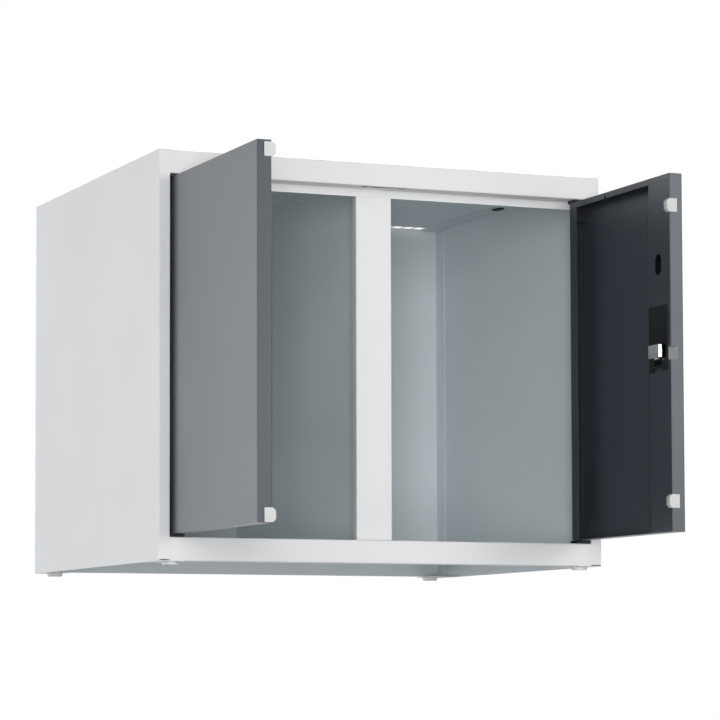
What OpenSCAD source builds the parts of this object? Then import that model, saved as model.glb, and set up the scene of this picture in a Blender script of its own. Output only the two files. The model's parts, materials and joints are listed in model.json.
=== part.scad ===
// Locker top cabinet: a two-door cabinet of folded sheet steel that stands on a locker.
// X runs across the width, Y from the front towards the back, Z up from the glides' soles.
// Both doors are drawn standing open, square to the front.

/* [Cabinet body] */
// Width over the two side panels
body_w = 600; // [560:1:720]
// Depth from the front plane to the rear face
body_d = 500; // [420:1:600]
// Height of the body above its glides
body_h = 500; // [440:1:700]
// Thickness of the sheet steel
sheet = 0.8; // [0.6:0.1:1]
// Inside radius of every fold
bend_r = 0.8; // [0.5:0.1:1]
// Gap between two sheets that are joined
seam = 0.1; // [0.1:0.05:0.3]

/* [Side panels] */
// Width of the folded stile beside the doors
stile_w = 15; // [13:0.5:22]
// Depth of the stile, which is also the depth of the door stop
stile_d = 25; // [24:0.5:32]
// Gap between the stile's lower end and the flange under it
stile_lift = 1.2; // [0.8:0.1:2]
// Width of the flange under the top panel
top_flange_w = 25; // [20:1:40]
// Width of the corner plates that carry the glides
foot_flange_w = 34; // [33:1:50]
// Length of those corner plates
foot_plate_l = 62; // [58:1:90]
// Width of the slot in the upper flange
tie_slot_w = 8; // [6:0.5:12]
// Length of the slot in the upper flange
tie_slot_l = 22; // [16:1:40]
// Distance of that slot from the outer wall
tie_slot_in = 13; // [10:0.5:16]
// Distance of that slot behind mid-depth
tie_slot_back = 21; // [0:1:60]
// Reach of the plug's rim past that slot
tie_plug_rim = 1.5; // [1:0.1:2]
// Thickness of the plug's rim
tie_plug_t = 1.2; // [0.8:0.1:2]
// Diameter of the holes that bolt the cabinet down
fixing_d = 8.5; // [6:0.5:10]
// Distance of the bolt holes from the front and rear planes
fixing_in = 45; // [42:1:50]

/* [Top panel] */
// Height of the header above the doors
header_h = 29; // [24:1:60]
// Depth of the stop strip below the header
stop_drop = 10; // [8:0.5:14]
// Number of vent slots over each compartment
vent_count = 14; // [6:1:14]
// Width of a vent slot
vent_w = 14.5; // [8:0.5:15]
// Length of a vent slot
vent_l = 20; // [8:0.5:22]
// Spacing of the vent slots
vent_pitch = 16.5; // [16:0.1:17.4]
// Distance of the outermost vent's middle from the side wall
vent_in = 33.6; // [33:0.1:40]
// Distance of the vents' middle from the rear face
vent_back = 14.2; // [13:0.1:40]
// Width of the left slot in the header's underside
head_slot_w = 8; // [6:0.5:12]
// Width of the long slot beside it
head_slot_long = 31.4; // [24:0.1:36]
// Width of the right slot
head_slot_end = 12.8; // [8:0.1:16]
// Bridge between those slots
head_slot_gap = 4; // [1.5:0.1:5]
// Depth of those slots
head_slot_d = 13; // [6:0.5:16]
// Distance of the left slot from the post's left edge
head_slot_in = 0.6; // [0.5:0.1:8]
// Distance of the slots behind the front plane
head_slot_set = 1.8; // [1.8:0.1:6]

/* [Floor panel] */
// Height of the rail below the doors
rail_h = 29; // [24:1:60]
// Depth of the fold under the rail
rail_return = 15; // [10:1:40]
// Depth of the floor's side flanges
floor_flange = 12; // [8:0.5:18]

/* [Back panel] */
// Depth of the back panel's side flanges
back_flange = 28; // [16:1:40]
// Distance of the back panel above the body's lower edge
back_lift = 2; // [1.5:0.1:8]

/* [Partition and post] */
// Width of the post behind the doors' meeting edges
post_w = 48.5; // [44:0.5:60]
// Reach of the post past the right door's edge
post_lap = 0.5; // [0.5:0.1:3]
// Depth of the post's side folds
post_return = 10; // [8:0.5:16]
// Distance of the partition from the post's left edge
partition_in = 21.1; // [16:0.1:24]
// Width of the partition's front flange
partition_front = 15.4; // [10:0.1:18]
// Width of the partition's rear flange
partition_rear = 12; // [8:0.5:20]
// Length of the slot near the partition's upper edge
pass_slot_l = 37; // [20:1:60]
// Height of that slot
pass_slot_h = 3; // [2:0.5:8]
// Distance of that slot below the top of the body
pass_slot_low = 9.2; // [4:0.1:12]
// Distance of that slot behind mid-depth
pass_slot_back = -4.5; // [-20:0.5:40]

/* [Doors] */
// Width of the right door
right_door_w = 263; // [240:1:290]
// Thickness of a door
door_t = 18; // [17:0.1:19]
// Set-back of the closed doors behind the front plane
door_setback = 2.5; // [2.3:0.1:3.5]
// Gap above and below a door
door_gap_v = 4; // [3.5:0.1:6]
// Gap beside the hinge edge of a closed door
door_gap_hinge = 3.5; // [3.5:0.1:6]
// Gap between the two closed doors
door_gap_mid = 4; // [4:0.1:6]
// Height of the lip under a door's upper fold
top_lip = 7.4; // [6:0.1:10]
// Width of the lip beside a door's hinge edge
hinge_lip = 19; // [16:0.5:26]
// Width of the box fold beside a door's free edge
box_w = 53.5; // [53:0.5:56]
// Distance of the lip's relief notch from the free edge
relief_in = 165; // [80:1:200]
// Width of the relief notch
relief_w = 4.5; // [2:0.5:8]
// Height of the relief notch
relief_h = 3.6; // [2:0.1:4]

/* [Hinges] */
// Diameter of a hinge pin
pin_d = 5; // [4:0.1:5.4]
// Distance of the pin's axis behind the door's outer face
pin_from_face = 6; // [5:0.1:7]
// Distance of the pin's axis from the hinge edge
pin_from_edge = 5; // [4.8:0.1:6]
// Radial play between pin and bush
pin_play = 0.05; // [0.02:0.01:0.1]
// Width of a bush plate
bush_w = 19.2; // [18.5:0.1:24]
// Depth of a bush plate
bush_d = 21; // [17:0.5:23]
// Clearance between a door and what it swings past
swing_gap = 0.3; // [0.3:0.05:0.5]
// Diameter of the bush's spigot
spigot_d = 10; // [8.5:0.1:10.5]
// Length of the bush's spigot
spigot_l = 6; // [4:0.5:10]
// Width of a pivot block
block_w = 12; // [11:0.5:15]
// Height of a pivot block
block_h = 24; // [16:1:40]

/* [Buffers] */
// Height of a buffer
buffer_h = 16.5; // [12:0.5:22]
// Width of a buffer's pad from the door's inner face
buffer_w = 9.7; // [8.5:0.1:13]
// Thickness of the pad on the free edge
buffer_t = 1.6; // [1:0.1:1.7]
// Reach of the buffer's head over the inner face
buffer_reach = 6.3; // [5:0.1:10]
// Corner cut of the head
buffer_cut = 3.4; // [2:0.1:3.6]
// Distance of the left door's upper buffer from its end
left_buffer_top = 2.6; // [0.5:0.1:6]
// Distance of the left door's lower buffer from its end
left_buffer_low = 0.6; // [0.5:0.1:6]
// Distance of the right door's upper buffer from its end
right_buffer_top = 31; // [28:0.5:60]
// Distance of the right door's lower buffer from its end
right_buffer_low = 28.5; // [28:0.5:60]

/* [Lock] */
// Height of the bolt's middle above the door's middle
bolt_rise = 2; // [-20:1:20]
// Height of the lock's axis above the bolt's middle
plug_rise = 34; // [33:0.5:38]
// Distance of the lock's axis from the free edge
plug_in = 31; // [30:0.5:32]
// Travel of the bolt
bolt_travel = 19; // [12:0.5:19.5]
// Length of the bolt's head
bolt_l = 26.5; // [22:0.5:27]
// Height of the bolt's head
bolt_h = 16; // [12:0.5:18]
// Thickness of the bolt's head
bolt_t = 4; // [3:0.1:5]
// Distance of the drawn bolt's head from the free edge
bolt_in = 12.3; // [11:0.1:13]
// Width of the lock's cover
cover_w = 44.5; // [43:0.1:44.6]
// Distance of the cover from the free edge
cover_in = 7.3; // [7:0.1:7.6]
// Height of the cover above the bolt's middle
cover_up = 56.2; // [54:0.1:62]
// Depth of the cover below the bolt's middle
cover_down = 23.9; // [23.5:0.1:27]
// Thickness of the cover
cover_t = 1.3; // [1:0.1:2]
// Diameter of the lock barrel
barrel_d = 18; // [17:0.1:19]
// Diameter of the lock's rim on the outer face
rim_d = 24; // [22:0.5:28]
// Thickness of that rim
rim_t = 2; // [1.5:0.1:2]
// Diameter of the turning plug
plug_d = 12; // [11:0.1:13]
// Width of the keyway
key_w = 2.4; // [1.5:0.1:3]
// Height of the keyway
key_h = 8; // [6:0.5:9]
// Width of the hand hole in the box fold
hand_hole_w = 15.6; // [10:0.1:18]
// Height of the hand hole
hand_hole_h = 25.6; // [20:0.1:40]
// Height of the hand hole's middle above the door's middle
hand_hole_rise = 109; // [100:1:120]
// Distance of the hand hole's middle from the free edge
hand_hole_in = 29.8; // [24:0.1:34]

/* [Glides] */
// Diameter of a glide
glide_d = 20; // [16:0.5:23]
// Height of a glide below the body
glide_h = 4; // [3:0.5:20]
// Distance of the glides from the side walls
glide_in = 22; // [21.5:0.5:23]
// Distance of the front glides from the front plane
glide_front = 20; // [13:0.5:34]
// Distance of the rear glides from the rear face
glide_rear = 20; // [13:0.5:34]

/* [Hidden] */
$fn = 48;

// Overrun of every cut
cut = 1;
// Segments in a fold's quarter turn
bend_steps = 4;

// Levels and planes of the body
side = body_w / 2;
front = -body_d / 2;
rear = body_d / 2;
low = glide_h;
top = low + body_h;
plate_low = top - sheet;
floor_top = low + rail_h;
header_low = top - header_h;
stop_low = header_low - stop_drop;
stop_y = front + stile_d;
web_back = stop_y + sheet;
back_face = rear - sheet;
inner_wall = side - sheet - seam;
clear_half = side - stile_w - seam;

// Doors: levels, widths and the hinge axes
door_low = floor_top + door_gap_v;
door_top = header_low - door_gap_v;
door_mid = (door_low + door_top) / 2;
pin_x = side - stile_w - door_gap_hinge - pin_from_edge;
pin_y = front + door_setback + pin_from_face;
door_face = pin_x + pin_from_face;
hinge_edge = pin_y + pin_from_edge;
meet_x = side - stile_w - door_gap_hinge - right_door_w;
left_door_w = meet_x - door_gap_mid + side - stile_w - door_gap_hinge;
skin_in = door_t - sheet;
bend_out = bend_r + sheet;
lip_slit = 0.3;

// Post and partition follow the line where the doors meet
post_x1 = meet_x + post_lap;
post_x0 = post_x1 - post_w;
partition_x = post_x0 + partition_in;
partition_y = web_back + seam;
head_slot_x = post_x0 + head_slot_in;
head_slot_y = front + head_slot_set;

// Hinge fittings
pin_r = pin_d / 2;
bore_r = pin_r + pin_play;
bush_t = door_gap_v - swing_gap;
spigot_r = spigot_d / 2;
spigot_hole_r = spigot_r + seam / 2;
block_play = 0.02;
pin_hole_r = pin_r + seam;
pin_end_gap = 0.5;
block_y = -bend_out;

// Glides: the peg that clips into the flange
peg_d = 8;
peg_hole_r = peg_d / 2 + seam;
clip_lip = 0.9;
clip_rise = 2.4;
glide_edge = 0.3;

// Buffers bear on the stop plane with a small gap
buffer_proud = stile_d - door_setback - door_t - swing_gap;
peg_r = 2;
peg_l = 6;
peg_depth = 6;
peg_t = door_t - peg_depth;
left_buffer_z = [door_low + left_buffer_low, door_top - left_buffer_top - buffer_h];
right_buffer_z = [door_low + right_buffer_low, door_top - right_buffer_top - buffer_h];

// Lock: depths from the door's outer face
bolt_z = door_mid + bolt_rise;
plug_z = bolt_z + plug_rise;
bolt_t0 = stile_d + sheet - door_setback + swing_gap;
cover_wall = 0.5;
slider_t1 = door_t - cover_wall - swing_gap;
slider_th = 2.2;
slider_t0 = slider_t1 - slider_th;
cam_gap = 0.5;
cam_t1 = slider_t0 - cam_gap;
cam_th = 1.8;
cam_t0 = cam_t1 - cam_th;
barrel_t1 = cam_t0 - cam_gap;
case_wall = 1.5;
case_t0 = sheet + seam;
case_back = 2.8;
nut_th = 2.5;
nut_d = 25;
// Lock: distances from the free edge
case_in = cover_in + case_wall;
case_out = cover_in + cover_w - case_wall;
stem_set = 17.5;
stem_in = bolt_in + stem_set;
stem_w = 5.6;
stem_up = 7.5;
stem_down = 7;
slot_gap = 0.6;
throw_r = bolt_travel / sqrt(2);
drive_r = 2;
drive_play = 0.6;
slider_rim = 3;
slider_out = plug_in + bolt_travel / 2 + drive_r + drive_play + slider_rim;
slider_up = plug_rise - throw_r / sqrt(2) + drive_r + drive_play + case_wall;
leg_rise = 4.2;
leg_shift = 0.6;
leg_in_a = 20;
leg_in_b = 39;
lug_r = 2.5;
recess_u = 5.7;
recess_t = 10;
recess_h = 16.3;
recess_drop = 3.5;
recess_z = [bolt_z - recess_drop - recess_h / 2, bolt_z - recess_drop + recess_h / 2];
// Lock: the cylinder's head and rim, the plug's tang, the cam and its screw
head_t = 1.2;
head_lip = 1.5;
rim_edge = 0.8;
tang_w = 7;
arm_w = 6;
arm_end_r = 3.8;
screw_r = 1.5;
screw_head_r = 3.4;
screw_head_t = 1.6;

// Colours
body_paint = "#D9DCDE";
door_paint = "#3B4148";
black_plastic = "#222423";
white_plastic = "#E2E4E2";
pale_plastic = "#CFD4D6";
bright_steel = "#C9CCCE";

// A box between two corners, given as a pair of limits along each axis
module block(x, y, z)
    translate([x[0], y[0], z[0]]) cube([x[1] - x[0], y[1] - y[0], z[1] - z[0]]);

// Outline in X and Y, raised between two levels
module upright(z)
    translate([0, 0, z[0]]) linear_extrude(z[1] - z[0]) children();

// Outline in Y and Z, drawn out between two places across the width
module across(x)
    translate([x[0], 0, 0]) rotate([90, 0, 90]) linear_extrude(x[1] - x[0]) children();

// Outline in X and Z, drawn out between two depths
module deep(y)
    translate([0, y[1], 0]) rotate([90, 0, 0]) linear_extrude(y[1] - y[0]) children();

// A round bar along X
module bar_x(x, y, z, r)
    translate([x[0], y, z]) rotate([0, 90, 0]) cylinder(h = x[1] - x[0], r = r);

// A round bar along Z
module bar_z(x, y, z, r)
    translate([x, y, z[0]]) cylinder(h = z[1] - z[0], r = r);

function heading(a, b) = (b - a) / norm(b - a);
function left_of(d) = [-d.y, d.x];
function turns_left(d, e) = d.x * e.y > d.y * e.x;
function reversed(p) = [for (k = [len(p) - 1 : -1 : 0]) p[k]];

// One face of a square bend at p, between the headings d and e
function bend(p, d, e, r_line, r_face) = [for (k = [0 : bend_steps])
    let (w = 90 * k / bend_steps)
    p + (e - d) * r_line + (d * sin(w) - e * cos(w)) * r_face];

// One face of a folded sheet that follows the line p: lift 0 is the line, 1 the far face
function fold_face(p, lift) = concat(
    [p[0] + left_of(heading(p[0], p[1])) * sheet * lift],
    [for (k = [1 : len(p) - 2])
        let (d = heading(p[k - 1], p[k]), e = heading(p[k], p[k + 1]),
            turn = turns_left(d, e) ? 1 : -1,
            r_line = turn > 0 ? bend_out : bend_r)
        for (q = bend(p[k], d, e, r_line, r_line - turn * sheet * lift)) q],
    [p[len(p) - 1] + left_of(heading(p[len(p) - 2], p[len(p) - 1])) * sheet * lift]);

// A folded sheet, seen on its edge: the sheet lies to the left of the line
module folded(p)
    polygon(concat(fold_face(p, 0), reversed(fold_face(p, 1))));

// A closed outline with round corners, its points in anticlockwise order
function rounded(p, r) = [for (k = [0 : len(p) - 1])
    let (n = len(p), d = heading(p[(k + n - 1) % n], p[k]), e = heading(p[k], p[(k + 1) % n]))
    for (q = bend(p[k], d, e, r, r)) q];

// A slot with round ends through a level sheet, long in Y
module slot_level(x, y, z, w, l) {
    block([x - w / 2, x + w / 2], [y - (l - w) / 2, y + (l - w) / 2], z);
    for (s = [-1, 1]) bar_z(x, y + s * (l - w) / 2, z, w / 2);
}

// Side panels

module side_panel() {
    wall_top = plate_low - seam;
    difference() {
        union() {
            upright([low, wall_top]) folded([[-side, rear], [-side, front],
                [-side + stile_w, front], [-side + stile_w, stop_y], [-inner_wall, stop_y]]);
            block([-side, -side + top_flange_w], [stop_y, back_face - seam],
                [wall_top - sheet, wall_top]);
            for (y = [[front + bend_out, front + foot_plate_l], [rear - foot_plate_l, back_face - seam]])
                block([-side, -side + foot_flange_w], y, [low, low + sheet]);
            block([-side + bend_out, -side + stile_w - bend_out], [front, front + bend_out],
                [low, low + sheet]);
            for (z = [[low, floor_top], [header_low, wall_top]])
                block([-side + stile_w - bend_out, -side + stile_w], [front, front + bend_out], z);
        }
        block([-side + bend_out, -side + stile_w + cut], [front - cut, front + bend_out],
            [low + sheet, low + sheet + stile_lift]);
        slot_level(-side + tie_slot_in, tie_slot_back, [wall_top - sheet - cut, wall_top + cut],
            tie_slot_w, tie_slot_l);
        for (y = [front + glide_front, rear - glide_rear])
            bar_z(-side + glide_in, y, [low - cut, low + sheet + cut], peg_hole_r);
        for (y = [front + fixing_in, rear - fixing_in])
            bar_z(-side + glide_in, y, [low - cut, low + sheet + cut], fixing_d / 2);
    }
}

module left_side_panel()
    color(body_paint) side_panel();

module right_side_panel()
    color(body_paint) mirror([1, 0, 0]) side_panel();

// Top panel with its header, stop strip and vents

module top_panel() color(body_paint) difference() {
    union() {
        across([-clear_half, clear_half]) folded([[rear, top], [front, top],
            [front, header_low], [stop_y, header_low], [stop_y, stop_low]]);
        for (s = [0, 1]) mirror([s, 0, 0])
            block([-side, -clear_half], [front, rear], [plate_low, top]);
    }
    for (s = [0, 1]) mirror([s, 0, 0]) {
        for (k = [0 : vent_count - 1]) vent(-side + sheet + vent_in + k * vent_pitch);
        bar_z(-pin_x, pin_y, [header_low - cut, header_low + sheet + cut], spigot_hole_r);
    }
    head_slot(head_slot_x, head_slot_w);
    head_slot(head_slot_x + head_slot_w + head_slot_gap, head_slot_long);
    head_slot(head_slot_x + head_slot_w + head_slot_long + 2 * head_slot_gap, head_slot_end);
}

module vent(x)
    block([x - vent_w / 2, x + vent_w / 2], [rear - vent_back - vent_l / 2, rear - vent_back + vent_l / 2],
        [plate_low - cut, top + cut]);

module head_slot(x, w)
    block([x, x + w], [head_slot_y, head_slot_y + head_slot_d],
        [header_low - cut, header_low + sheet + cut]);

// Floor panel with the rail below the doors

module floor_panel() color(body_paint) difference() {
    flange_y = [stop_y + seam, rear - back_flange - seam];
    rail_half = side - foot_flange_w - seam;
    union() {
        across([-rail_half, rail_half]) folded([[back_face - seam, floor_top], [front, floor_top],
            [front, low], [front + rail_return, low]]);
        for (s = [0, 1]) mirror([s, 0, 0]) {
            across([-clear_half, -rail_half]) folded([[stop_y + seam, floor_top],
                [front, floor_top], [front, low]]);
            deep(flange_y) folded([[-rail_half, floor_top], [-inner_wall, floor_top],
                [-inner_wall, floor_top - floor_flange]]);
            block([-inner_wall + sheet + seam, -rail_half], [flange_y[1], back_face - seam],
                [floor_top - sheet, floor_top]);
        }
    }
    for (s = [-1, 1])
        bar_z(s * pin_x, pin_y, [floor_top - sheet - cut, floor_top + cut], spigot_hole_r);
}

// Plugs that close the slots in the upper flanges from below
module tie_slot_plugs() color(black_plastic) for (s = [0, 1]) mirror([s, 0, 0]) {
    flange_low = plate_low - seam - sheet;
    x = -side + tie_slot_in;
    slot_level(x, tie_slot_back, [flange_low - tie_plug_t, flange_low],
        tie_slot_w + 2 * tie_plug_rim, tie_slot_l + 2 * tie_plug_rim);
    slot_level(x, tie_slot_back, [flange_low - tie_plug_t / 2, plate_low - seam],
        tie_slot_w - 2 * seam, tie_slot_l - 2 * seam);
}

// Back panel

module back_panel() color(body_paint) difference() {
    flange_top = plate_low - 2 * seam - sheet;
    upright([low + back_lift, plate_low - seam]) folded([[inner_wall, rear - back_flange],
        [inner_wall, rear], [-inner_wall, rear], [-inner_wall, rear - back_flange]]);
    for (s = [0, 1]) mirror([s, 0, 0])
        block([-side, -side + top_flange_w + seam], [rear - back_flange - cut, back_face],
            [flange_top - seam, top]);
}

// Partition between the compartments

module centre_partition() color(body_paint) difference() {
    upright([floor_top + seam, plate_low - seam]) folded([
        [partition_x + partition_rear, back_face - seam], [partition_x, back_face - seam],
        [partition_x, partition_y], [partition_x + partition_front, partition_y]]);
    block([partition_x - cut, partition_x + sheet + cut],
        [pass_slot_back - pass_slot_l / 2, pass_slot_back + pass_slot_l / 2],
        [top - pass_slot_low - pass_slot_h, top - pass_slot_low]);
}

// Post behind the doors' meeting edges, with the slot that takes the bolt

module centre_post() color(body_paint) difference() {
    strike_half = bolt_h / 2 + 2 * slot_gap;
    upright([floor_top + seam, stop_low - seam]) folded([[post_x0, stop_y + post_return],
        [post_x0, stop_y], [post_x1, stop_y], [post_x1, stop_y + post_return]]);
    block([post_x1 - sheet - cut, post_x1 + cut], [web_back, web_back + bolt_t + 2 * slot_gap],
        [bolt_z - strike_half, bolt_z + strike_half]);
}

// Hinge bushes: a plate in the gap beside the door's end, and a spigot through the sheet

module bush(plate_z, spigot_z) color(black_plastic) difference() {
    x0 = -side + stile_w + seam;
    y0 = front + seam;
    corner = rounded([[x0, y0], [x0 + bush_w, y0], [x0 + bush_w, y0 + bush_d], [x0, y0 + bush_d]],
        bend_out);
    union() {
        upright(plate_z) polygon(corner);
        bar_z(-pin_x, pin_y, spigot_z, spigot_r);
    }
    bar_z(-pin_x, pin_y, [min(plate_z[0], spigot_z[0]) - cut, max(plate_z[1], spigot_z[1]) + cut],
        bore_r);
}

module upper_bush()
    bush([header_low - bush_t, header_low], [header_low - bush_t, header_low + spigot_l]);

module lower_bush()
    bush([floor_top, floor_top + bush_t], [floor_top - spigot_l, floor_top + bush_t]);

module left_upper_bush() upper_bush();
module left_lower_bush() lower_bush();
module right_upper_bush() mirror([1, 0, 0]) upper_bush();
module right_lower_bush() mirror([1, 0, 0]) lower_bush();

// Glides: a round foot with a peg that clips into the flange
module glide(x, y) translate([x, y, 0]) rotate_extrude() polygon([
    [0, 0], [glide_d / 2 - glide_edge, 0], [glide_d / 2, glide_edge], [glide_d / 2, low],
    [peg_d / 2, low], [peg_d / 2, low + sheet + seam],
    [peg_d / 2 + clip_lip, low + sheet + seam], [peg_d / 2, low + sheet + seam + clip_rise],
    [0, low + sheet + seam + clip_rise]]);

module foot_glides() color(pale_plastic)
    for (x = [-side + glide_in, side - glide_in], y = [front + glide_front, rear - glide_rear])
        glide(x, y);

// Doors. Each is drawn from its hinge edge: X is the depth from the outer face, and the free
// edge lies at minus the width in Y.

module at_left_door()
    translate([-door_face, hinge_edge, 0]) children();

module at_right_door()
    mirror([1, 0, 0]) at_left_door() children();

// One sheet folded into a pan, with a box fold beside the free edge
module door_pan(w, buffer_z) difference() {
    ring = rounded([[0, 0], [0, -w], [door_t, -w], [door_t, 0]], bend_out);
    lip_low = door_top - top_lip;
    union() {
        upright([door_low, door_top]) folded([[door_t, -hinge_lip], [door_t, 0], [0, 0], [0, -w],
            [door_t, -w], [door_t, -w + box_w], [sheet + seam, -w + box_w]]);
        for (z = [door_low, door_top - sheet]) upright([z, z + sheet]) polygon(ring);
        block([skin_in, door_t], [-w + box_w - bend_out, -hinge_lip + sheet], [lip_low, door_top]);
    }
    slit = [lip_low - lip_slit, lip_low];
    block([skin_in - bend_out, door_t + cut], [-w + bend_out, -w + box_w + cut], slit);
    block([skin_in - bend_out, door_t + cut], [-hinge_lip - cut, -bend_out], slit);
    block([skin_in - cut, door_t + cut], [-w + relief_in - relief_w / 2, -w + relief_in + relief_w / 2],
        [lip_low - cut, lip_low + relief_h]);
    bar_z(pin_from_face, -pin_from_edge, [door_low - cut, door_low + sheet + cut], pin_hole_r);
    bar_z(pin_from_face, -pin_from_edge, [door_top - sheet - cut, door_top + cut], pin_hole_r);
    for (z = buffer_z)
        translate([peg_t, -w + sheet + cut, z + buffer_h / 2]) rotate([90, 0, 0])
            cylinder(h = sheet + 2 * cut, r = peg_r + seam);
}

module left_door_pan() color(door_paint)
    at_left_door() door_pan(left_door_w, left_buffer_z);

module right_door_pan() color(door_paint) at_right_door() {
    w = right_door_w;
    difference() {
        door_pan(w, right_buffer_z);
        bar_x([-cut, sheet + cut], -w + plug_in, plug_z, barrel_d / 2 + seam);
        block([skin_in - cut, door_t + cut], [-w + case_in - seam, -w + case_out + seam],
            [bolt_z - cover_down + leg_rise + case_wall - seam, bolt_z + cover_up - case_wall + seam]);
        hand_hole(w);
        upright(recess_z) polygon([[door_t - recess_t, -w], [door_t, -w + recess_u],
            [door_t + cut, -w + recess_u], [door_t + cut, -w - cut], [door_t - recess_t, -w - cut]]);
    }
    bolt_recess(w);
}

// Ramp pressed into the free edge beside the bolt: a sloping sheet between two webs
module bolt_recess(w) {
    t0 = door_t - recess_t;
    ramp = [[door_t, -w + recess_u], [door_t, -w + recess_u + sheet], [t0 - sheet, -w + sheet]];
    upright([recess_z[0] - sheet, recess_z[1] + sheet]) polygon(concat([[t0 - sheet, -w], [t0, -w]], ramp));
    for (z = [recess_z[0] - sheet, recess_z[1]]) upright([z, z + sheet])
        polygon(concat([[t0 - sheet, -w], [door_t - bend_out, -w], [door_t, -w + bend_out]], ramp));
}

// Obround hole in the box fold, tall in Z
module hand_hole(w) {
    y = -w + hand_hole_in;
    z = door_mid + hand_hole_rise;
    half = (hand_hole_h - hand_hole_w) / 2;
    t = [skin_in - cut, door_t + cut];
    block(t, [y - hand_hole_w / 2, y + hand_hole_w / 2], [z - half, z + half]);
    for (s = [-1, 1]) bar_x(t, y, z + s * half, hand_hole_w / 2);
}

// Steel pins, one at each end of the hinge edge
module hinge_pins() color(bright_steel) {
    bar_z(pin_from_face, -pin_from_edge,
        [floor_top - spigot_l + pin_end_gap, door_low + sheet + seam + block_h - pin_end_gap], pin_r);
    bar_z(pin_from_face, -pin_from_edge,
        [door_top - sheet - seam - block_h + pin_end_gap, header_low + spigot_l - pin_end_gap], pin_r);
}

module left_hinge_pins() at_left_door() hinge_pins();
module right_hinge_pins() at_right_door() hinge_pins();

// Blocks inside the pan's hinge corners that hold the pins
module pivot_blocks() color(black_plastic)
    for (z = [door_low + sheet + seam, door_top - sheet - seam - block_h]) difference() {
        block([sheet + seam, skin_in - seam], [block_y - block_w, block_y], [z, z + block_h]);
        bar_z(pin_from_face, -pin_from_edge, [z - cut, z + block_h + cut], pin_r + block_play);
    }

module left_pivot_blocks() at_left_door() pivot_blocks();
module right_pivot_blocks() at_right_door() pivot_blocks();

// Buffers: a pad on the free edge, a head over the inner face and a peg into the pan
module buffer(w, z0) {
    z1 = z0 + buffer_h;
    t0 = door_t - buffer_w;
    t1 = door_t + buffer_proud;
    head = [[t1 - buffer_cut, z0], [t1, z0 + buffer_cut], [t1, z1 - buffer_cut], [t1 - buffer_cut, z1]];
    deep([-w - buffer_t, -w]) polygon(concat([[t0, z0]], head, [[t0, z1]]));
    deep([-w - buffer_t, -w + buffer_reach]) polygon(concat([[door_t, z0]], head, [[door_t, z1]]));
    translate([peg_t, -w + peg_l, z0 + buffer_h / 2]) rotate([90, 0, 0])
        cylinder(h = peg_l, r = peg_r);
}

module left_door_buffers() color(white_plastic) at_left_door()
    for (z = left_buffer_z) buffer(left_door_w, z);

module right_door_buffers() color(white_plastic) at_right_door()
    for (z = right_buffer_z) buffer(right_door_w, z);

// Lock in the right door

module at_lock()
    at_right_door() translate([0, -right_door_w, 0]) children();

// Moulded case inside the box fold, with the cover that shows on the inner face
module lock_housing() color(black_plastic) at_lock() difference() {
    z0 = bolt_z - cover_down;
    z1 = bolt_z + cover_up;
    u0 = cover_in;
    u1 = cover_in + cover_w;
    case_z = [z0 + leg_rise + case_wall, z1 - case_wall];
    case_u = [case_in, case_out];
    union() {
        across([door_t, door_t + cover_t]) polygon([[u0, z0 + leg_shift],
            [leg_in_a, z0 + leg_shift], [leg_in_a, z0 + leg_rise], [leg_in_b, z0 + leg_rise],
            [leg_in_b, z0], [u1, z0], [u1, z1], [u0, z1]]);
        block([case_t0, door_t], case_u, case_z);
    }
    block([case_back, door_t - cover_wall], [case_u[0] + case_wall, case_u[1] - case_wall],
        [case_z[0] + case_wall, case_z[1] - case_wall]);
    bar_x([case_t0 - cut, case_back + cut], plug_in, plug_z, barrel_d / 2 + seam);
    block([door_t - cover_wall - cut, door_t + cover_t + cut],
        [stem_in - bolt_travel - slot_gap, stem_in + stem_w + slot_gap],
        [bolt_z - stem_down - slot_gap, bolt_z + stem_up + slot_gap]);
    block([door_t - cover_wall - cut, door_t + cover_t + cut], [leg_in_a, leg_in_b],
        [case_z[0] + case_wall, bolt_z]);
}

// Barrel with its rim on the outer face
module lock_cylinder() color(bright_steel) at_lock() translate([0, plug_in, plug_z])
    rotate([0, 90, 0]) rotate_extrude() polygon([
        [plug_d / 2 + pin_play, -rim_t + head_t], [plug_d / 2 + head_lip + pin_play, -rim_t + head_t],
        [plug_d / 2 + head_lip + pin_play, -rim_t], [rim_d / 2 - rim_edge, -rim_t],
        [rim_d / 2, -rim_t + rim_edge], [rim_d / 2, 0], [barrel_d / 2, 0],
        [barrel_d / 2, barrel_t1], [plug_d / 2 + pin_play, barrel_t1]]);

module lock_nut() color(bright_steel) at_lock() translate([case_back, plug_in, plug_z])
    rotate([0, 90, 0]) difference() {
        cylinder(h = nut_th, r = nut_d / 2, $fn = 6);
        translate([0, 0, -cut]) cylinder(h = nut_th + 2 * cut, r = barrel_d / 2 + pin_play);
    }

// Turning plug with its keyway and the square tang that carries the cam
module lock_plug() color(bright_steel) at_lock() translate([0, plug_in, plug_z]) difference() {
    union() {
        bar_x([-rim_t + pin_play, -rim_t + head_t - pin_play], 0, 0, plug_d / 2 + head_lip);
        bar_x([-rim_t + pin_play, cam_t0], 0, 0, plug_d / 2);
        block([cam_t0, cam_t1 - pin_play], [-tang_w / 2, tang_w / 2], [-tang_w / 2, tang_w / 2]);
    }
    block([-rim_t - cut, barrel_t1 / 2], [-key_w / 2, key_w / 2], [-key_h / 2, key_h / 2]);
    bar_x([barrel_t1 / 2 + cut, cam_t1 + cut], 0, 0, screw_r + pin_play);
}

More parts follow.
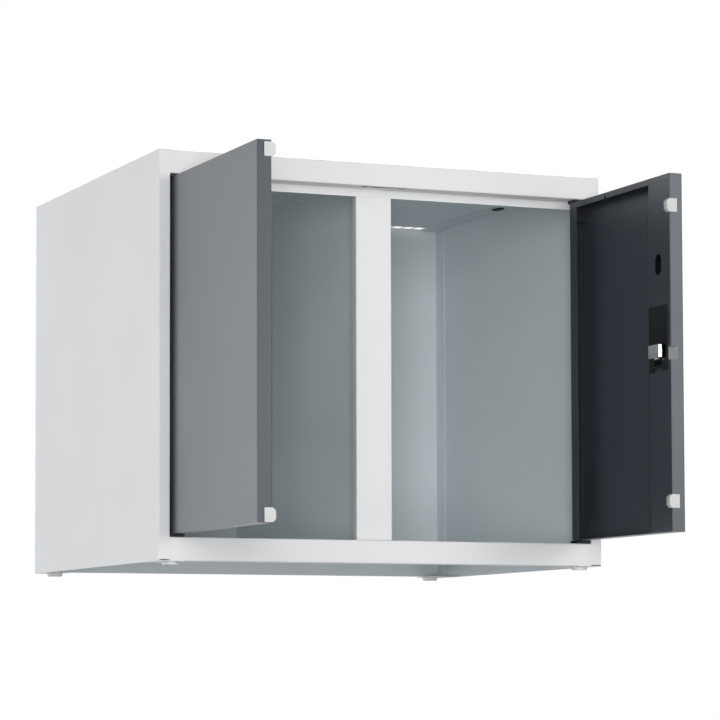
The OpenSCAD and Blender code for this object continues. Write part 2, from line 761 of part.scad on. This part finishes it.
// Cam: a lever with a drive pin that runs in the bolt's upright slot
module lock_cam() color(bright_steel) at_lock() translate([0, plug_in, plug_z]) {
    reach = throw_r / sqrt(2);
    across([cam_t0, cam_t1]) difference() {
        union() {
            circle(r = plug_d / 2);
            rotate(-45) translate([0, -arm_w / 2]) square([throw_r, arm_w]);
            translate([reach, -reach]) circle(r = arm_end_r);
        }
        square(tang_w + 2 * pin_play, center = true);
    }
    bar_x([cam_t0, slider_t1], reach, -reach, drive_r);
}

module cam_screw() color(bright_steel) at_lock() translate([0, plug_in, plug_z]) {
    bar_x([cam_t1, cam_t1 + screw_head_t], 0, 0, screw_head_r);
    bar_x([barrel_t1 / 2 + 2 * cut, cam_t1], 0, 0, screw_r);
}

// Bolt: the slider in the case, the stem through the cover and the head behind the post
module lock_bolt() color(bright_steel) at_lock() {
    slot_u = plug_in + bolt_travel / 2;
    slot_half = drive_r + drive_play;
    difference() {
        block([slider_t0, slider_t1], [stem_in, slider_out], [bolt_z - stem_down + stem_w / 2,
            bolt_z + slider_up]);
        block([slider_t0 - cut, slider_t1 + cut], [slot_u - slot_half, slot_u + slot_half],
            [plug_z - throw_r - slot_half, plug_z - throw_r / sqrt(2) + slot_half]);
    }
    block([slider_t0, bolt_t0], [stem_in, stem_in + stem_w],
        [bolt_z - stem_down + stem_w / 2, bolt_z + stem_up]);
    bar_x([slider_t0, bolt_t0], stem_in + stem_w / 2, bolt_z - stem_down + stem_w / 2, stem_w / 2);
    bar_x([door_t + cover_t + slot_gap, bolt_t0 + bolt_t / 2], bolt_in + bolt_l / 2,
        bolt_z - bolt_h / 2, lug_r);
    across([bolt_t0, bolt_t0 + bolt_t]) polygon(rounded([[bolt_in, bolt_z - bolt_h / 2],
        [bolt_in + bolt_l, bolt_z - bolt_h / 2], [bolt_in + bolt_l, bolt_z + bolt_h / 2],
        [bolt_in, bolt_z + bolt_h / 2]], bend_r));
}

left_side_panel();
right_side_panel();
top_panel();
floor_panel();
back_panel();
centre_partition();
centre_post();
tie_slot_plugs();
left_upper_bush();
left_lower_bush();
right_upper_bush();
right_lower_bush();
foot_glides();
left_door_pan();
left_hinge_pins();
left_pivot_blocks();
left_door_buffers();
right_door_pan();
right_hinge_pins();
right_pivot_blocks();
right_door_buffers();
lock_housing();
lock_cylinder();
lock_nut();
lock_plug();
lock_cam();
cam_screw();
lock_bolt();
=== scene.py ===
"""Looks of the locker top cabinet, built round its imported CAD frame."""

import json
import math

import bmesh
import bpy
from mathutils import Matrix, Vector


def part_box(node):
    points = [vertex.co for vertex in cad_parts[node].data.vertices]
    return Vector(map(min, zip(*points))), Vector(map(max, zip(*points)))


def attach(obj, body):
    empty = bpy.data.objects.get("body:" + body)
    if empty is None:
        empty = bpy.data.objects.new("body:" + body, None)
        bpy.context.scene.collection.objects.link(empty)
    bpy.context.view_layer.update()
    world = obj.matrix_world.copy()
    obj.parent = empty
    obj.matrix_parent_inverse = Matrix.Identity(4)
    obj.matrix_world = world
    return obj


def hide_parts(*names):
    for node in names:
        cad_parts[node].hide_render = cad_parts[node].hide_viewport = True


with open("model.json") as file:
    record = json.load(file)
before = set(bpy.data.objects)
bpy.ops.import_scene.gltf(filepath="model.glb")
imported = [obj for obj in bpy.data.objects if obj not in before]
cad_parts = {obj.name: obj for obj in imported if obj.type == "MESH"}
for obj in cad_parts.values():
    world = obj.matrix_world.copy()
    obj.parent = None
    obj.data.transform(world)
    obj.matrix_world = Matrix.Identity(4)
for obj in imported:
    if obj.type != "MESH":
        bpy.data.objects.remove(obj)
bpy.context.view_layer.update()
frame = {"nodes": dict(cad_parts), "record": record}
nodes = frame["nodes"]
scene = bpy.context.scene
slot_of = {row["node"]: row["material_slot"] for row in frame["record"]["subparts"]}
bodies = frame["record"]["behaviour"]["bodies"]
body_of = {name: body for body, names in bodies.items() for name in names}
WHITE = (1, 1, 1, 1)


def mm(length):
    """Millimetres as Blender's metres."""
    return length / 1000


def per_mm(size):
    """Scale of a texture whose features are that many millimetres across."""
    return 1000 / size


def colour(code):
    """An sRGB hex value as linear red, green, blue and alpha, by the standard's own constants."""
    channels = [int(code[k:k + 2], 16) / 255 for k in (1, 3, 5)]
    return tuple(c / 12.92 if c <= 0.04045 else ((c + 0.055) / 1.055) ** 2.4
                 for c in channels) + (1.0,)


def add(tree, kind, inputs=None, **settings):
    """Adds a node with its settings; inputs gives each socket a value or the output that feeds it."""
    made = tree.nodes.new(kind)
    for name, value in settings.items():
        setattr(made, name, value)
    for socket, value in (inputs or {}).items():
        if isinstance(value, bpy.types.NodeSocket):
            tree.links.new(value, made.inputs[socket])
        else:
            made.inputs[socket].default_value = value
    return made


# Camera: the photograph's low three-quarter view, solved from the cabinet's own edges. The sensor
# is in mm, the focal length and the frame in the photograph's pixels, the place and both clipping
# distances in metres, the turns in radians and the shifts in parts of the frame
SENSOR = 36.0
FOCAL_PX = 3054.76
FRAME_PX = 720
CAMERA_AT = (-1.5251568, -3.7166488, -0.1344959)
YAW, PITCH, ROLL = 0.394, 0.0679, -0.002
SHIFT_X, SHIFT_Y = 0.05, 0.15
NEAREST, FARTHEST = 0.1, 50

camera = bpy.data.objects.new("camera", bpy.data.cameras.new("camera"))
scene.collection.objects.link(camera)
camera.data.sensor_width = SENSOR
camera.data.lens = SENSOR * FOCAL_PX / FRAME_PX
camera.data.shift_x, camera.data.shift_y = SHIFT_X, SHIFT_Y
camera.data.clip_start, camera.data.clip_end = NEAREST, FARTHEST
camera.location = CAMERA_AT
heading = Matrix.Rotation(-YAW, 4, "Z")
lift = Matrix.Rotation(math.pi / 2 + PITCH, 4, "X")
lean = Matrix.Rotation(ROLL, 4, "Z")
camera.rotation_euler = (heading @ lift @ lean).to_euler()
scene.camera = camera

# World: an even white studio whose light grows from one level to the other between two heights of
# the sky. The camera and reflections see it white
WORLD_LOW, WORLD_HIGH = 0.06, 0.15
SKY_FROM, SKY_TO = -0.1, 0.8
world = bpy.data.worlds.new("studio")
scene.world = world
world.use_nodes = True
tree = world.node_tree
tree.nodes.clear()
path = add(tree, "ShaderNodeLightPath")
seen = add(tree, "ShaderNodeMath", {0: path.outputs["Is Camera Ray"],
                                    1: path.outputs["Is Glossy Ray"]}, operation="MAXIMUM")
seen = add(tree, "ShaderNodeMath", {0: seen.outputs[0],
                                    1: path.outputs["Is Transmission Ray"]}, operation="MAXIMUM")
sky = add(tree, "ShaderNodeTexCoord").outputs["Generated"]
height = add(tree, "ShaderNodeSeparateXYZ", {0: sky}).outputs["Z"]
level = add(tree, "ShaderNodeMapRange", {"Value": height, "From Min": SKY_FROM, "From Max": SKY_TO,
                                         "To Min": WORLD_LOW, "To Max": WORLD_HIGH})
lit = add(tree, "ShaderNodeBackground", {"Color": WHITE, "Strength": level.outputs["Result"]})
shown = add(tree, "ShaderNodeBackground", {"Color": WHITE, "Strength": 1.0})
mixed = add(tree, "ShaderNodeMixShader", {0: seen.outputs[0], 1: lit.outputs[0],
                                          2: shown.outputs[0]})
add(tree, "ShaderNodeOutputWorld", {"Surface": mixed.outputs[0]})

# Lamps: name, place, what they face, width and height in metres, power in watts and colour
LAMPS = [
    # Tall, narrow light beside the camera, which reaches into both compartments
    ("key", (-1.5, -3.85, 0.1), (0, -0.1, 0.25), 0.8, 1.8, 73, "#FFFFFF"),
    # The same further left, for the sides of the compartments
    ("key_left", (-2.2, -3.35, 0.0), (0, 0, 0.25), 0.8, 1.8, 14, "#FFFFFF"),
    # Light from high up in front of the left corner
    ("upper", (-1.7, -3.4, 2.3), (0, -0.1, 0.25), 2.4, 1.8, 25, "#FFFFFF"),
    # Light from below, on the undersides
    ("low", (0.3, -1.6, -3.0), (0, 0, 0.25), 2.2, 1.6, 20, "#FFFFFF"),
    # Softboxes right of the front, on the faces towards the front and the doors' free edges
    ("softbox_low", (1.35, -3.6, 0.35), (0, -0.25, 0.25), 1.3, 1.3, 16, "#FFFFFF"),
    ("softbox_high", (1.9, -3.3, 0.9), (0, -0.25, 0.25), 1.1, 1.3, 22, "#FFFFFF"),
    # Light from behind the left corner, on the left door's outer face and the side panel
    ("rear_left", (-3.5, 2.55, 0.3), (-0.2, -0.2, 0.25), 2.0, 2.0, 110, "#FAFDFF"),
    # Light from behind on the right, on the back and the right side, which the photograph doesn't see
    ("rear_right", (3.8, 2.6, 1.2), (0, 0, 0.25), 2.4, 2.0, 100, "#FFFFFF"),
    # Light from above on the right, behind the front plane, on the top, the right side and the floor
    ("overhead", (1.6, 1.6, 3.6), (0, 0, 0.25), 2.4, 2.4, 118, "#FFFFFF"),
]
for name, place, aim, width, tall, power, tint in LAMPS:
    light = bpy.data.lights.new(name, "AREA")
    light.shape = "RECTANGLE"
    light.size, light.size_y = width, tall
    light.energy = power
    light.color = colour(tint)[:3]
    lamp = bpy.data.objects.new(name, light)
    lamp.location = place
    lamp.rotation_euler = (Vector(aim) - lamp.location).to_track_quat("-Z", "Y").to_euler()
    scene.collection.objects.link(lamp)

# Floor: pale and matt. It holds the shadow where it is seen from above, turns white between two
# distances from the middle, and lets every other ray through, because the photograph looks up from
# below it into light. All lengths are in metres
FLOOR_HALF = 30.0
FLOOR_TONE = "#FCFCFC"
WHITE_FROM, WHITE_AT = 0.45, 1.5
floor = bpy.data.objects.new("floor", bpy.data.meshes.new("floor"))
outline = [(x * FLOOR_HALF, y * FLOOR_HALF, 0) for x, y in ((-1, -1), (1, -1), (1, 1), (-1, 1))]
floor.data.from_pydata(outline, [], [(0, 1, 2, 3)])
scene.collection.objects.link(floor)
paper = bpy.data.materials.new("studio_floor")
paper.use_nodes = True
tree = paper.node_tree
tree.nodes.clear()
path = add(tree, "ShaderNodeLightPath")
side = add(tree, "ShaderNodeNewGeometry")
above = add(tree, "ShaderNodeMath", {0: 1.0, 1: side.outputs["Backfacing"]}, operation="SUBTRACT")
solid = add(tree, "ShaderNodeMath", {0: path.outputs["Is Camera Ray"], 1: above.outputs[0]},
            operation="MULTIPLY")
away = add(tree, "ShaderNodeVectorMath", {0: side.outputs["Position"]}, operation="LENGTH")
far = add(tree, "ShaderNodeMapRange", {"Value": away.outputs["Value"], "From Min": WHITE_FROM,
                                       "From Max": WHITE_AT}, interpolation_type="SMOOTHSTEP")
matt = add(tree, "ShaderNodeBsdfDiffuse", {"Color": colour(FLOOR_TONE)})
white = add(tree, "ShaderNodeEmission", {"Color": WHITE, "Strength": 1.0})
sheet = add(tree, "ShaderNodeMixShader", {0: far.outputs["Result"], 1: matt.outputs[0],
                                          2: white.outputs[0]})
clear = add(tree, "ShaderNodeBsdfTransparent")
mixed = add(tree, "ShaderNodeMixShader", {0: solid.outputs[0], 1: clear.outputs[0],
                                          2: sheet.outputs[0]})
add(tree, "ShaderNodeOutputMaterial", {"Surface": mixed.outputs[0]})
floor.data.materials.append(paper)

# Where in the drifting noise the two colours and the two roughnesses lie
TONE_SPAN = (0.35, 0.65)
GLOSS_SPAN = (0.3, 0.7)
# Detail of the drift, and detail and roughness of the grain, in the noise's own units
DRIFT_DETAIL = 3.0
GRAIN_DETAIL, GRAIN_ROUGH = 2.0, 0.55


def finish_of(name, low, high, cloud, rough, grain, depth, metal=0.0, shine=0.5, along=(1, 1, 1)):
    """A finish whose colour and gloss drift between two values, over a fine grained surface.
    low and high are the two colours, cloud the drift's size in mm, rough the two roughnesses,
    grain the relief's size in mm, depth its height in mm, metal 1 for bare metal, shine the
    strength of its plain reflection and along the grain's stretch on each axis."""
    made = bpy.data.materials.new(name)
    made.use_nodes = True
    tree = made.node_tree
    tree.nodes.clear()
    place = add(tree, "ShaderNodeTexCoord").outputs["Object"]
    drift = add(tree, "ShaderNodeTexNoise", {"Vector": place, "Scale": per_mm(cloud),
                                             "Detail": DRIFT_DETAIL})
    tone = add(tree, "ShaderNodeValToRGB", {"Fac": drift.outputs["Fac"]})
    for stop, code, at in zip(tone.color_ramp.elements, (low, high), TONE_SPAN):
        stop.color = colour(code)
        stop.position = at
    gloss = add(tree, "ShaderNodeMapRange", {
        "Value": drift.outputs["Fac"], "From Min": GLOSS_SPAN[0], "From Max": GLOSS_SPAN[1],
        "To Min": rough[0], "To Max": rough[1]})
    drawn = add(tree, "ShaderNodeMapping", {"Vector": place, "Scale": [1 / s for s in along]})
    fine = add(tree, "ShaderNodeTexNoise", {
        "Vector": drawn.outputs["Vector"], "Scale": per_mm(grain),
        "Detail": GRAIN_DETAIL, "Roughness": GRAIN_ROUGH})
    bump = add(tree, "ShaderNodeBump", {"Height": fine.outputs["Fac"], "Strength": 1.0,
                                        "Distance": mm(depth)})
    skin = add(tree, "ShaderNodeBsdfPrincipled", {
        "Base Color": tone.outputs["Color"], "Roughness": gloss.outputs["Result"],
        "Normal": bump.outputs["Normal"], "Metallic": metal, "Specular IOR Level": shine})
    add(tree, "ShaderNodeOutputMaterial", {"Surface": skin.outputs["BSDF"]})
    return made


FINISHES = {
    # Polyester powder coat on sheet steel, sprayed and baked. It flows into a faint orange peel, drawn
    # about 2 mm across as on the real one, with a satin gloss that drifts a little over a panel
    "body_paint": finish_of("light_grey_powder_coat", "#D7D8DA", "#D9DADC",
                            140, (0.34, 0.4), 2.2, 0.012),
    # The same coat in anthracite, with a slightly bluish grey pigment
    "door_paint": finish_of("anthracite_powder_coat", "#313840", "#343B43",
                            140, (0.33, 0.39), 2.2, 0.012),
    # Injection moulded polyamide out of a spark-eroded mould: matt, with a grain of about 0.7 mm
    "black_plastic": finish_of("black_moulded_polyamide", "#141615", "#181A19",
                               40, (0.45, 0.55), 0.7, 0.02, shine=0.22),
    # Moulded polyethylene, milky and waxy, with a duller bloom where it was touched
    "glide_plastic": finish_of("pale_moulded_polyethylene", "#DFE3E4", "#E5E8E8",
                               30, (0.5, 0.6), 0.9, 0.02),
    # Soft thermoplastic elastomer: matt and off-white, with a fine dusty grain
    "white_plastic": finish_of("white_soft_elastomer", "#C8C9C8", "#CECECD",
                               20, (0.5, 0.6), 0.8, 0.02),
    # Zinc plated and passivated steel: dull, with cloudy patches about 6 mm across
    "plain_steel": finish_of("zinc_plated_steel", "#A3A8AD", "#B4B6B4",
                             6, (0.28, 0.42), 0.5, 0.01, metal=1.0),
    # Satin nickel plate on die-cast zinc, brushed upright before plating: broad, soft reflections and
    # fine lines, drawn 0.5 mm apart because the real ones are too fine to show
    "chrome": finish_of("satin_nickel_plate", "#BFC0BF", "#C9C9C6",
                        15, (0.2, 0.28), 0.5, 0.004, metal=1.0, along=(1, 1, 8)),
}
# The same plate on the bolt, tumbled instead of brushed: duller, with softer reflections. It is also
# paler, a painted brightness that stands in for the bright reflections on the bolt
BRIGHTENED_BOLT_PLATE = finish_of("nickel_plate_painted_brighter", "#EFEEEB", "#F4F3F0",
                       15, (0.26, 0.34), 0.6, 0.004, metal=1.0)
# The light grey coat inside the cabinet and under its floor, as a lighter and cooler copy of the body
# coat: painted light, standing in for the cool light that fills the inside
PAINTED_INSIDE_LIGHT = finish_of("light_grey_coat_painted_inside_light", "#D8DFE2", "#DAE1E4",
                       140, (0.36, 0.42), 2.2, 0.012)
# The anthracite coat inside a door's hinge corner, darker and duller than on the outside: painted
# shade in the corner
PAINTED_HINGE_CORNER_SHADE = finish_of("anthracite_painted_corner_shade", "#1B1F23", "#1F2327",
                      60, (0.5, 0.6), 1.5, 0.01, shine=0.2)
# Moulded polyamide of the pivot blocks, a blue-black that hides them in the doors' corners
BLOCK_PLASTIC = finish_of("blue_black_moulded_polyamide", "#1A1D21", "#1E2125",
                          40, (0.45, 0.55), 0.7, 0.02, shine=0.22)
# Near-black and matt inside the doors' box folds: painted shade, for the dark inside of the folds
PAINTED_BOX_FOLD_SHADE = finish_of("painted_box_fold_shade_black", "#0B0D0E", "#101213",
                   60, (0.6, 0.7), 1.5, 0.01, shine=0.15)

# Pieces with a finish of their own
OWN = {"left_pivot_blocks": BLOCK_PLASTIC, "right_pivot_blocks": BLOCK_PLASTIC,
       "lock_bolt": BRIGHTENED_BOLT_PLATE}

# Sheets of the cabinet that have an inner side, and the box they make together
SHEETS_WITH_PAINTED_INSIDE_LIGHT = ("left_side_panel", "right_side_panel", "top_panel", "floor_panel", "back_panel",
                 "centre_partition")
corners = [Vector(corner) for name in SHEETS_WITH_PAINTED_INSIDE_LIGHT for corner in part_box(name)]
frame_box = [Vector([pick(c[k] for c in corners) for k in range(3)]) for pick in (min, max)]

# Angle past which an edge stays sharp, angle up to which faces are one flat, and how near two
# corners of the loose triangles are one
CREASE = math.radians(25)
FLAT = math.radians(0.5)
SAME = mm(0.002)
# Rounding of edges: its steps, and the profile that makes it a circle's arc
ROUND_STEPS = 3
ROUND_PROFILE = 0.5
# Places of a piece's materials: its own finish, the painted light or painted shade inside it and the
# painted shade in a hinge corner
OUTER, INNER, CORNER = 0, 1, 2
# Depth in mm past which a face is inside a piece
INSIDE = 0.75
# Width of the doors' box fold and depth of the pressed recess in its free edge, in mm
BOX_FOLD = 53.5
RECESS = 4.0
# Reach in mm of a door's hinge corner, which gets the painted shade, and how far to the front its
# inner faces look at least
HINGE_CORNER = 3.2
TO_FRONT = -0.1
# Inner faces of the cabinet begin this far behind its front plane, in mm, past the stop strip
BEHIND_STOP = 27.0


def inside_of(low, high, front):
    """The two corners of a box's inside: INSIDE mm in from its sides and front mm from its front."""
    step = Vector([mm(INSIDE)] * 3)
    near, far = low + step, high - step
    near.y = low.y + mm(front)
    return near, far


def paint_inside_light_or_shade(work, near, far):
    """Gives the faces whose middle lies between two corners the inner material, which is painted light
    or painted shade, the others the outer.
    """
    for face in work.faces:
        middle = face.calc_center_median()
        within = all(near[k] < middle[k] < far[k] for k in range(3))
        face.material_index = INNER if within else OUTER


def paint_door_shades(work, name):
    """Gives the faces inside a door's box fold the painted shade, up to the fold's own wall, and those
    inside its hinge corner the corner's painted shade."""
    low, high = (Vector(corner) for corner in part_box(name))
    near, far = inside_of(low, high, RECESS)
    far.y = low.y + mm(BOX_FOLD - INSIDE)
    bmesh.ops.bisect_plane(work, geom=work.verts[:] + work.edges[:] + work.faces[:], dist=SAME,
                           plane_co=(0, far.y, 0), plane_no=(0, 1, 0))
    paint_inside_light_or_shade(work, near, far)
    # Painted shade on the faces inside the hinge corner
    for face in work.faces:
        if face.calc_center_median().y > high.y - mm(HINGE_CORNER) and face.normal.y < TO_FRONT:
            face.material_index = CORNER


def refined(name, edge):
    """Stands for a CAD node: its loose triangles joined, its sharp edges rounded by edge mm and its
    folds and rounds shaded smooth while the flats stay flat."""
    piece = bpy.data.objects.new(name + "_made", nodes[name].data.copy())
    scene.collection.objects.link(piece)
    piece.data.materials.clear()
    piece.data.materials.append(OWN.get(name, FINISHES[slot_of[name]]))
    work = bmesh.new()
    work.from_mesh(piece.data)
    bmesh.ops.remove_doubles(work, verts=work.verts, dist=SAME)
    bmesh.ops.dissolve_limit(work, verts=work.verts, edges=work.edges, angle_limit=FLAT)
    if edge:
        sharp = [e for e in work.edges if e.is_manifold and e.calc_face_angle(0) > CREASE]
        bmesh.ops.bevel(work, geom=sharp, offset=mm(edge), offset_type="OFFSET",
                        segments=ROUND_STEPS, profile=ROUND_PROFILE, affect="EDGES",
                        clamp_overlap=True)
    for face in work.faces:
        face.smooth = True
        face.material_index = OUTER
    if name.endswith("door_pan"):
        # Painted shade inside the doors' box folds and in their hinge corners
        piece.data.materials.append(PAINTED_BOX_FOLD_SHADE)
        piece.data.materials.append(PAINTED_HINGE_CORNER_SHADE)
        paint_door_shades(work, name)
    elif name in SHEETS_WITH_PAINTED_INSIDE_LIGHT:
        # Painted cool light on the cabinet's inner faces
        piece.data.materials.append(PAINTED_INSIDE_LIGHT)
        paint_inside_light_or_shade(work, *inside_of(*frame_box, BEHIND_STOP))
    for e in work.edges:
        e.smooth = e.is_manifold and e.calc_face_angle(0) < CREASE
    work.to_mesh(piece.data)
    work.free()
    weigh = piece.modifiers.new("flats stay flat", "WEIGHTED_NORMAL")
    weigh.keep_sharp = True
    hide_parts(name)
    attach(piece, body_of[name])


# Rounding in mm of the sharp edges of moulded, cast and turned pieces; sheets keep their cut edges
EDGE_OF = {
    "left_upper_bush": 0.5, "left_lower_bush": 0.5,
    "right_upper_bush": 0.5, "right_lower_bush": 0.5,
    "foot_glides": 0.4, "left_pivot_blocks": 0.4, "right_pivot_blocks": 0.4,
    "left_door_buffers": 0.25, "right_door_buffers": 0.25,
    "left_hinge_pins": 0.3, "right_hinge_pins": 0.3,
    "lock_housing": 0.2, "lock_cylinder": 0.25, "lock_nut": 0.25, "lock_plug": 0.15,
    "lock_cam": 0.2, "cam_screw": 0.2, "lock_bolt": 0.7,
}
for name in nodes:
    refined(name, EDGE_OF.get(name, 0))


def rib_row():
    """Geometry Nodes that set equal bars one above the other, and the identifier of each input."""
    tree = bpy.data.node_groups.new("rib row", "GeometryNodeTree")
    sockets = {}
    for title, kind in (("Count", "NodeSocketInt"), ("Pitch", "NodeSocketFloat"),
                        ("Bar", "NodeSocketVector"), ("Material", "NodeSocketMaterial")):
        socket = tree.interface.new_socket(title, in_out="INPUT", socket_type=kind)
        sockets[title] = socket.identifier
    tree.interface.new_socket("Geometry", in_out="OUTPUT", socket_type="NodeSocketGeometry")
    given = add(tree, "NodeGroupInput").outputs
    rise = add(tree, "ShaderNodeCombineXYZ", {"Z": given["Pitch"]})
    line = add(tree, "GeometryNodeMeshLine", {"Count": given["Count"],
                                              "Offset": rise.outputs["Vector"]})
    bar = add(tree, "GeometryNodeMeshCube", {"Size": given["Bar"]})
    row = add(tree, "GeometryNodeInstanceOnPoints", {"Points": line.outputs["Mesh"],
                                                     "Instance": bar.outputs["Mesh"]})
    made = add(tree, "GeometryNodeRealizeInstances", {"Geometry": row.outputs["Instances"]})
    dressed = add(tree, "GeometryNodeSetMaterial", {"Geometry": made.outputs["Geometry"],
                                                    "Material": given["Material"]})
    add(tree, "NodeGroupOutput", {"Geometry": dressed.outputs["Geometry"]})
    return tree, sockets


# Moulded ribs behind the window in the lock's cover, below the bolt: how many, how far apart, their
# depth, length and height, their rounding and the lowest one's middle, all in mm
RIB_COUNT, RIB_PITCH = 4, 2.3
RIB_BAR = (2.4, 18.4, 1.1)
RIB_EDGE = 0.25
RIB_AT = (266.6, -470.0, 240.4)
row_tree, row_sockets = rib_row()
holder = bpy.data.objects.new("rib holder", bpy.data.meshes.new("rib holder"))
scene.collection.objects.link(holder)
row = holder.modifiers.new("rib row", "NODES")
row.node_group = row_tree
for title, value in (("Count", RIB_COUNT), ("Pitch", mm(RIB_PITCH)),
                     ("Bar", [mm(v) for v in RIB_BAR]), ("Material", FINISHES["black_plastic"])):
    row[row_sockets[title]] = value
bpy.context.view_layer.update()
settled = holder.evaluated_get(bpy.context.evaluated_depsgraph_get())
ribs_mesh = bpy.data.meshes.new_from_object(settled)
bpy.data.objects.remove(holder)
ribs_mesh.transform(Matrix.Translation([mm(v) for v in RIB_AT]))
ribs = bpy.data.objects.new("lock_window_ribs", ribs_mesh)
scene.collection.objects.link(ribs)
rounding = ribs.modifiers.new("moulded edges", "BEVEL")
rounding.width = mm(RIB_EDGE)
rounding.segments = ROUND_STEPS
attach(ribs, "right_door")

scene.view_settings.view_transform = "Standard"
